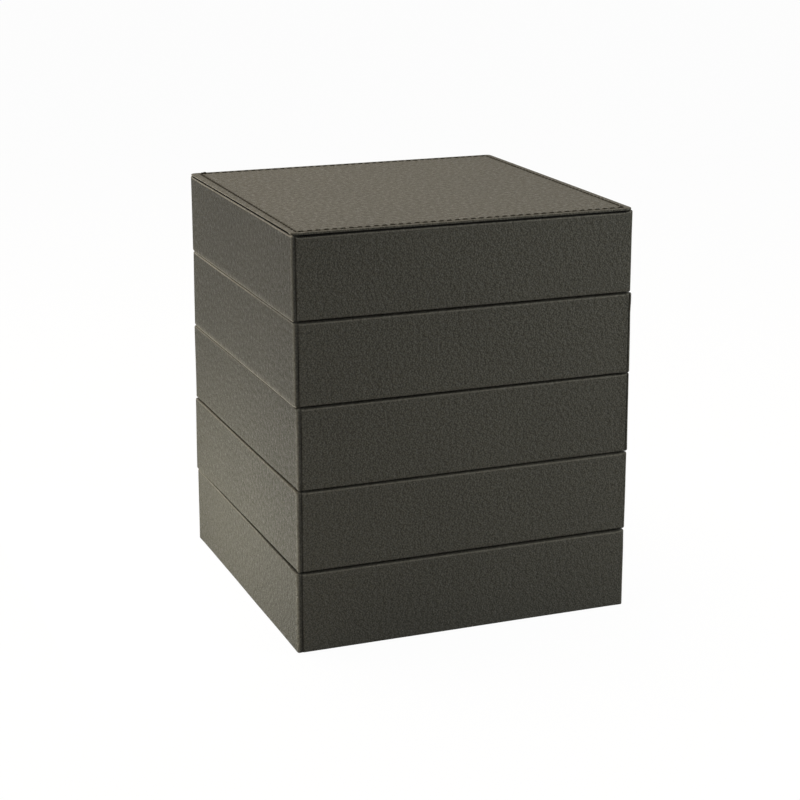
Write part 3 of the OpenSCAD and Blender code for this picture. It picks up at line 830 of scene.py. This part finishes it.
section = np.array([[70.0, CARD_UP], [CARD_FIT, CARD_UP], [CARD_FIT, CARD_TOP], [70.0, CARD_TOP]])
depth, rise = section.T[:, None, :]
plan = round_square(stations(6.0), HALF - card_high[0] + depth, np.full((1, 4), 1.5))[0]
sheet = raised(plan, card_low[2] + rise)
middles = [[0, 0, card_low[2] + CARD_UP], [0, 0, card_low[2] + CARD_TOP]]
piece("lid_card_sheet", np.concatenate([sheet.reshape(-1, 3), middles]), card, "lid", "backing", ["lid_card"],
      faces=closed_over(sheet))

# A mirror is bright all over, and only its smudges are a little rough
silvered = tooled(
    "silvered_mirror", (0.90, 0.93, 0.93), (0.86, 0.89, 0.89), (1.0, 1.0, 1.0), 0.0, 1.0, 14.0, 0.000001)
tree = silvered.node_tree
mirror_rough = tree.nodes["Principled BSDF"].inputs["Roughness"]
smudge = eased(tree, mirror_rough.links[0].from_socket, 0.12, 0.25)
tree.links.new(math(tree, "MULTIPLY", smudge, 0.05), mirror_rough)
dress(silvered, "lid_mirror")

# The suede frame's section goes over the board's edge and face to the window; the hinge leaves have slots
skin_low, skin_high = corners("lid_skin")
skin_half = skin_high[0]
tall = skin_high[2] - skin_low[2]
window = skin_half - (corners("lid_mirror")[1, 0] - LAP)
section = np.concatenate([
    [[0.05, tall]],
    arc((SKIN_EDGE, SKIN_EDGE), SKIN_EDGE, 180, 270, 7),
    [[8, 0], [16, 0]],
    arc((window - LAP_EDGE, LAP_EDGE), LAP_EDGE, 270, 360, 5),
    [[window, SKIN_T - 0.02], [SKIN_T, SKIN_T], [SKIN_T, tall]],
])
slot_ends = np.array([HINGE_OUT - HINGE_W - SLOT_FIT, HINGE_OUT + SLOT_FIT]) * STRAIGHT / skin_half
slot_steps = [sign * slot_ends + step for sign in (-1, 1) for step in (-0.03, 0.03)]
at = stations(4.0, {BACK: np.concatenate(slot_steps)})
depth, rise = section.T[:, None, :]
plan = round_square(at, HALF - skin_half + depth, np.maximum(SKIN_EDGE - depth, 0.8))[0]
over_leaf = (at[:, :1] == BACK) & (np.abs(np.abs(at[:, 1:2]) - slot_ends.mean()) < np.ptp(slot_ends) / 2)
level = np.where(over_leaf, np.minimum(rise, tall - LEAF_ROOM), rise)
soft = 0.06 * np.sin(plan[..., 0] / 9 + 1) * np.sin(plan[..., 1] / 11) * bell(depth, 12, 8) * (rise < 0.1)
suede_frame = raised(plan, skin_low[2] + level + soft)
piece("lid_suede_frame", suede_frame, lining, "lid", "suede", ["lid_skin"])


# Hinges.
# Two small brass butt hinges: strip rolled round a pin, one leaf screwed to the wall and one under the lid.
# The brass is satin and has browned with age; each wall screw has a cross recess.
LEAF_T = 0.8
LEAF_DROP = 13.0
KNUCKLE_W = 7.8
BARREL_R = 1.8
ROLLED_R = BARREL_R - LEAF_T / 2 - 0.025
END_EDGE = 0.12
SCREW_HEAD_R = 1.8
SCREW_HEAD_H = 0.65
SCREW_SHANK_R = 1.0
RECESS_R = 1.15
aged_brass = tooled(
    "aged_hinge_brass", (0.42, 0.265, 0.085), (0.20, 0.115, 0.04), (0.08, 1.0, 1.0), 0.3, 1.0, 220.0)
dress(aged_brass, "hinge_pins", "hinge_lid_screws")
AXIS_Y, AXIS_Z = corners("hinge_pins").mean(axis=0)[1:]
HINGE_X = np.array([-1, 1]) * (HINGE_OUT - HINGE_W / 2)


def strip(path, x0, x1):
    """A bent strip: a line in Y and Z thickened by half a leaf to both sides along its normals, carried along
    X, with its end rings a little thinner, as sheared edges are when they have been broken."""
    step = np.gradient(path, axis=0)
    normal = np.c_[-step[:, 1], step[:, 0]] / np.hypot(*step.T)[:, None]
    thick = LEAF_T / 2 - np.array([END_EDGE, 0, 0, END_EDGE])[:, None, None]
    around = np.concatenate([path + normal * thick, (path - normal * thick)[:, ::-1]], 1)
    x = np.array([x0, x0 + END_EDGE, x1 - END_EDGE, x1])[:, None, None]
    return np.concatenate([x + 0 * around[..., :1], around], -1)[None]


def leaves(name, plate, curl, knuckles, body, replaced):
    """One leaf of each hinge: a flat plate as wide as the hinge, and rolled knuckles between given places."""
    half = HINGE_W / 2
    parts = []
    for x in HINGE_X:
        parts.append(strip(plate, x - half, x + half))
        parts += [strip(curl, x + start, x + end) for start, end in knuckles]
    starts = np.cumsum([0] + [part[..., 0].size for part in parts])
    faces = [face + start for part, start in zip(parts, starts) for face in capped(part)]
    points = np.concatenate([part.reshape(-1, 3) for part in parts])
    piece(name, points, aged_brass, body, "hinge_brass", [replaced], faces=faces, sharp=40)


_, wall_low_y, wall_low_z = corners("hinge_lower_leaves")[0]
wall_y = wall_low_y + LEAF_T / 2
plate_top = wall_low_z + LEAF_DROP
plate = np.c_[np.full(6, wall_y), np.linspace(wall_low_z, plate_top, 6)]
curl = np.concatenate([
    [[wall_y, plate_top - 0.6], [wall_y, plate_top + 0.4], [wall_y + 0.1, plate_top + 1.0]],
    arc((AXIS_Y, AXIS_Z), ROLLED_R, 180, -140, 22),
])
outer_knuckles = [(-HINGE_W / 2, KNUCKLE_W - HINGE_W / 2), (HINGE_W / 2 - KNUCKLE_W, HINGE_W / 2)]
leaves("hinge_wall_leaves", plate, curl, outer_knuckles, "top_tray", "hinge_lower_leaves")

leaf_low, leaf_high = corners("hinge_upper_leaves")
leaf_z = leaf_high[2] - LEAF_T / 2
leaf_back = AXIS_Y - BARREL_R - 0.3
plate = np.c_[np.linspace(leaf_low[1], leaf_back, 6), np.full(6, leaf_z)]
curl = np.concatenate([
    [[leaf_back - 0.6, leaf_z], [AXIS_Y - 0.8, leaf_z]],
    arc((AXIS_Y, AXIS_Z), ROLLED_R, 90, -230, 22),
])
leaves("hinge_lid_leaves", plate, curl, [(-KNUCKLE_W / 2, KNUCKLE_W / 2)], "lid", "hinge_upper_leaves")


def wall_screw(x, y, z):
    """An oval-headed screw pointing to -Y: rings of a turned outline, whose face is pressed in where a ring's
    points lie near either of two crossed lines, which makes the recess."""
    face = np.array([0.05, 0.3, 0.5, 0.7, 0.9, 1.05, 1.2, 1.5, 1.7, SCREW_HEAD_R])
    crown = SCREW_HEAD_H * (1 - (face / SCREW_HEAD_R) ** 2.5)
    shank = [[SCREW_SHANK_R, -0.8], [SCREW_SHANK_R, -4.5], [0.1, -5.9]]
    radius, out = np.concatenate([np.c_[face, crown], shank]).T[:, :, None]
    angle = full_turn(48).T
    near = radius * np.minimum(np.abs(np.sin(angle + 0.5)), np.abs(np.cos(angle + 0.5)))
    recess = (out > 0) * fade(near, 0.2, 0.34) * fade(radius, 0.85, RECESS_R)
    y = y + out * (1 - 0.9 * recess)
    return np.stack([x + radius * np.cos(angle), y, z + radius * np.sin(angle)], -1)


screw_y = corners("hinge_wall_screws")[1, 1]
screw_z = corners("hinge_wall_screws")[:, 2].mean()
screws = np.stack([
    wall_screw(x + sign * HINGE_W / 4, screw_y, screw_z) for x in HINGE_X for sign in (-1, 1)])
piece("hinge_wall_screw_heads", screws, aged_brass, "top_tray", "hinge_brass", ["hinge_wall_screws"],
      faces=capped(screws), sharp=30)


# The lid's stitched cover.
# A square of the same leathercloth over the card, with its edges turned and sewn down four millimetres in.
# The thread pulls a groove into the cloth, so the border outside it stands up as a flat band.
STITCH_IN = 3.8
STITCH_PITCH = 4.23
LID_EDGE_R = 0.4
LID_FOOT_R = 0.3
LID_CORNER = 2.8
LID_LEAN = -0.24
LID_T = 0.9
COVER_T = 0.3
TURNED_IN = 9.0
LID_BACK = LID_T - COVER_T
lid_z = corners("lid_cover")[0, 2]


def lid_section():
    """Section of the cover as depth from the edge and height from its underside: the hollow for the card,
    from the middle out and back under it, and the turned-in hem; then round the outside, across the border,
    through the sewn groove and on to the middle."""
    groove = np.linspace(STITCH_IN - 1.2, STITCH_IN + 1.2, 15)
    across = np.concatenate([[1.0, 1.6, 2.2], groove, [6, 9, 14, 22, 34, 48, 62, 76, 86]])
    under = np.array([
        [80, LID_BACK], [30, LID_BACK], [COVER_T, LID_BACK], [COVER_T, COVER_T],
        [TURNED_IN, COVER_T], [TURNED_IN, 0], [3.0, 0], [0.7, 0],
    ])
    over = np.concatenate([
        arc((LID_FOOT_R, LID_FOOT_R), LID_FOOT_R, 270, 180, 5),
        arc((LID_EDGE_R, LID_T - LID_EDGE_R), LID_EDGE_R, 180, 90, 7),
        np.c_[across, np.full(across.size, LID_T)],
    ])
    return under, over


def sewn_line(plan):
    """Where the seam really runs, as a bend of the plan: bells about the even line move it a millimetre
    nearer the front edge, and at the left by an amount that grows towards the back."""
    moved = plan.copy()
    line = HALF - STITCH_IN
    inside = ease(HALF - np.abs(plan).max(axis=-1), 0, 2.5)
    moved[..., 0] += (0.4 + 0.75 * plan[..., 1] / line) * bell(plan[..., 0], -line, 2.5) * inside
    moved[..., 1] -= bell(plan[..., 1], -line, 2.5) * inside
    return moved


at = stations(0.7, corner_steps=8)
under, over = lid_section()
section = np.concatenate([under, over])
depth, rise = section.T[:, None, :]
points, outward = round_square(at, depth, np.maximum(LID_CORNER - depth, 0.3))
x, y = points[..., 0], points[..., 1]
outside = np.arange(len(section)) >= len(under)
on_top = (np.arange(len(section)) >= len(under) + 8) * ease(depth, 0.3, 0.9)

# The sewn groove is deepest where the thread goes down; the field and the border are never quite flat
pull = 0.74 + 0.26 * np.cos(2 * np.pi * at[:, 1:2] / STITCH_PITCH)
groove = bell(depth, STITCH_IN, 0.55)
band = 0.06 * bell(depth, 2.0, 0.9) - 0.06
soft = 0.05 * np.sin(x / 23 + 1) * np.sin(y / 29 + 2)
sewn = band * (depth < STITCH_IN) - 0.05 * bell(depth, STITCH_IN, 1.4) - 0.2 * groove * pull

# The hem hangs a little at the front, and at the left it is pressed thinner, towards the front most of all
hang = 0.25 * ease(-y, HALF - 4, HALF - 1) * (rise < 0.35)
at_left = ease(-x, HALF - 1.2, HALF - 0.35) * ease(y + HALF, 1, 8)
thinner = (0.27 - 0.22 * y / HALF) * at_left * (1 - rise / LID_T)
level = rise - hang + thinner + on_top * (sewn + soft * ease(depth, 5, 20))
plan = np.where((on_top > 0)[..., None], sewn_line(points), points)
cover = raised(plan, lid_z + level)
middles = np.array([[0, 0, lid_z + LID_BACK], [0, 0, lid_z + LID_T]])

# The cloth's own map is the plan with the edge folded out; the left edge and, a little, the top edge all
# round are painted paler, as wear and painted highlight, and the hem's outer underside gets painted shade
fall = (LID_T - rise) * (depth < 1.5)
folded_out = points + outward[:, None, :] * fall[..., None]
cloth = np.concatenate([folded_out.reshape(-1, 2), np.zeros((2, 2))]) * MM + 0.3
left_side = ease(-x, HALF - 0.6, HALF - 0.1)
edge = 0.9 * left_side * outside * (rise < 0.7) + 0.12 * fade(depth, 0.2, 0.5) * (rise > 0.6)
shadow = ease(depth, 0.08, 0.2) * (rise < 0.25) * (depth < 1.5)
# Painted shade in the sewn groove and on the hem's outer underside
crease = np.maximum(0.95 * groove * on_top * pull, shadow)
piece("lid_stitched_cover", lean(np.concatenate([cover.reshape(-1, 3), middles]), LID_LEAN),
      leathercloth, "lid", "leathercloth", ["lid_cover"], faces=closed_over(cover), uv=cloth,
      crease=np.r_[crease.ravel(), 0, 0], edge=np.r_[edge.ravel(), 0, 0])


# The sewing thread.
# A waxed three-strand thread a shade darker than the cloth, six stitches to the inch in a line round the lid.
# The seam starts and ends at the back left, where a few stitches run double and the ends are knotted off.
THREAD_R = 0.52
STITCH_L = 3.5
KNOT_R = 0.75
SUNK = 0.2
waxed_thread, tree, shader = finish_of("waxed_thread")
strands = {"Vector": node(tree, "UVMap", uv_map="cloth")[0], "Scale": 1.6, "Distortion": 1.2}
twist = node(tree, "TexWave", strands, bands_direction="DIAGONAL")[1]
paint(tree, shader, mixed(tree, twist, (0.010, 0.0094, 0.007), (0.030, 0.0275, 0.0205)),
      scaled(tree, twist, 0.15, 0.7))
relief(tree, shader, twist, 0.5, 0.0001)
shader.inputs["Specular IOR Level"].default_value = 0.1


def stitch(length, radius, rise):
    """One stitch along X: a tube whose middle stands up and whose ends dive into holes and close."""
    along = np.linspace(-1, 1, 9)[:, None]
    around = full_turn(8).T
    girth = radius * np.sqrt(np.clip(1 - np.abs(along) ** 5, 0.01, 1))
    height = rise - 0.55 * np.abs(along) ** 3.2 + girth * np.sin(around)
    return np.stack([length / 2 * along + 0 * around, girth * np.cos(around), height], -1)


half_line = HALF - STITCH_IN
count = int(round(2 * half_line / STITCH_PITCH))
centres = (np.arange(count) + 0.5) * 2 * half_line / count - half_line
stitch_rows = [
    (side, centre, 0.06 * np.sin(centre * 1.7 + side), STITCH_L, THREAD_R, 0.16)
    for side in (FRONT, RIGHT, BACK, LEFT) for centre in centres]

# At the back left the seam runs back over itself, and ends in a knot
stitch_rows.append((BACK, half_line - 1.0, 0.1, 1.7, THREAD_R, 0.5))
stitch_rows.append((BACK, half_line - 3.2, 0.4, 2.7, KNOT_R, 0.45))
sets = []
for side, centre, swing, length, radius, rise in stitch_rows:
    direction = SIDE_DIRECTIONS[side]
    normal = np.array([direction[1], -direction[0]])
    along, across, up = np.split(stitch(length, radius, rise), 3, axis=-1)
    plan = direction * (centre + along) + normal * (half_line + across + swing * along)
    sets.append(np.concatenate([sewn_line(plan), lid_z + LID_T - SUNK + up], -1))
stitches = np.stack(sets)
winding = np.stack(np.meshgrid(np.linspace(0, 1, 9), np.linspace(0, 1, 8), indexing="ij"), -1)
piece("lid_stitches", lean(stitches, LID_LEAN), waxed_thread, "lid", "leathercloth", faces=capped(stitches),
      uv=np.broadcast_to(winding, (len(sets), 9, 8, 2)))


# The stage.
# A plain pale floor under soft light: a lamp overhead, a low strip and a bounce at the left, a fill in front.
# Floor and world are white to the camera and to reflections, and the floor keeps a trace of the shadow.
FLOOR_R = 12.0
FLOOR_GLOW = 0.97
WORLD_LIGHT = 0.22


def lamp(name, place, target, size, power, colour):
    """An area lamp, so wide and so high, that faces its target."""
    light = bpy.data.lights.new(name, "AREA")
    light.shape = "RECTANGLE"
    light.size, light.size_y = size
    light.energy = power
    light.color = colour
    made = bpy.data.objects.new(name, light)
    made.location = place
    made.rotation_euler = (Vector(target) - Vector(place)).to_track_quat("-Z", "Y").to_euler()
    made.visible_camera = False
    bpy.context.scene.collection.objects.link(made)


def seen(tree):
    """One for rays from the camera, in reflections and through glass, and nought for the light that falls."""
    path = node(tree, "LightPath")
    straight = math(tree, "ADD", path["Is Camera Ray"], path["Is Glossy Ray"])
    return math(tree, "ADD", straight, path["Is Transmission Ray"])


angle = full_turn(64)
disc = FLOOR_R * np.c_[np.cos(angle), np.sin(angle), 0 * angle]
floor_mesh = bpy.data.meshes.new("floor")
floor_mesh.from_pydata(disc.tolist(), [], [list(range(64))])
floor = bpy.data.objects.new("floor", floor_mesh)
bpy.context.scene.collection.objects.link(floor)
pale_floor, tree, shader = finish_of("pale_floor")
shader.inputs["Base Color"].default_value = (0.8, 0.8, 0.8, 1)
shader.inputs["Roughness"].default_value = 0.8
glow = node(tree, "Emission", {"Color": (1, 1, 1), "Strength": 1.0})[0]
share = math(tree, "MULTIPLY", seen(tree), FLOOR_GLOW)
blended = node(tree, "MixShader", {0: share, 1: shader.outputs[0], 2: glow})[0]
tree.links.new(blended, tree.nodes["Material Output"].inputs["Surface"])
floor_mesh.materials.append(pale_floor)

world = bpy.data.worlds.new("studio")
bpy.context.scene.world = world
world.use_nodes = True
tree = world.node_tree
strength = node(tree, "MapRange", {0: seen(tree), 1: 0.0, 2: 1.0, 3: WORLD_LIGHT, 4: 1.0})[0]
tree.links.new(strength, tree.nodes["Background"].inputs["Strength"])
tree.nodes["Background"].inputs["Color"].default_value = (1, 1, 1, 1)

lamp("overhead_softbox", (-0.15, 0.25, 1.0), (0, 0, 0.15), (0.8, 0.8), 14.6, (1.0, 0.87, 0.68))
lamp("low_left_strip", (-0.2, 0.05, 0.02), (-0.09, 0.05, 0.02), (0.24, 0.03), 0.36, (1.0, 0.97, 0.82))
lamp("left_bounce", (-0.6, 0.06, 0.06), (0, 0, 0.07), (0.4, 0.4), 1.25, (1.0, 0.96, 0.86))
lamp("front_fill", (0.42, -0.36, 0.33), (0, 0, 0.14), (0.3, 0.3), 1.95, (0.94, 0.98, 0.95))

camera = bpy.data.objects.new("photo_view", bpy.data.cameras.new("photo_view"))
camera.data.lens = 89.152
camera.data.sensor_width = 36
camera.location = (-0.37443, -0.96220, 0.39743)
camera.rotation_euler = np.radians((73.8486, 0.0394, -21.228))
camera.data.clip_end = 50
bpy.context.scene.collection.objects.link(camera)
bpy.context.scene.camera = camera
bpy.context.scene.view_settings.view_transform = "Standard"
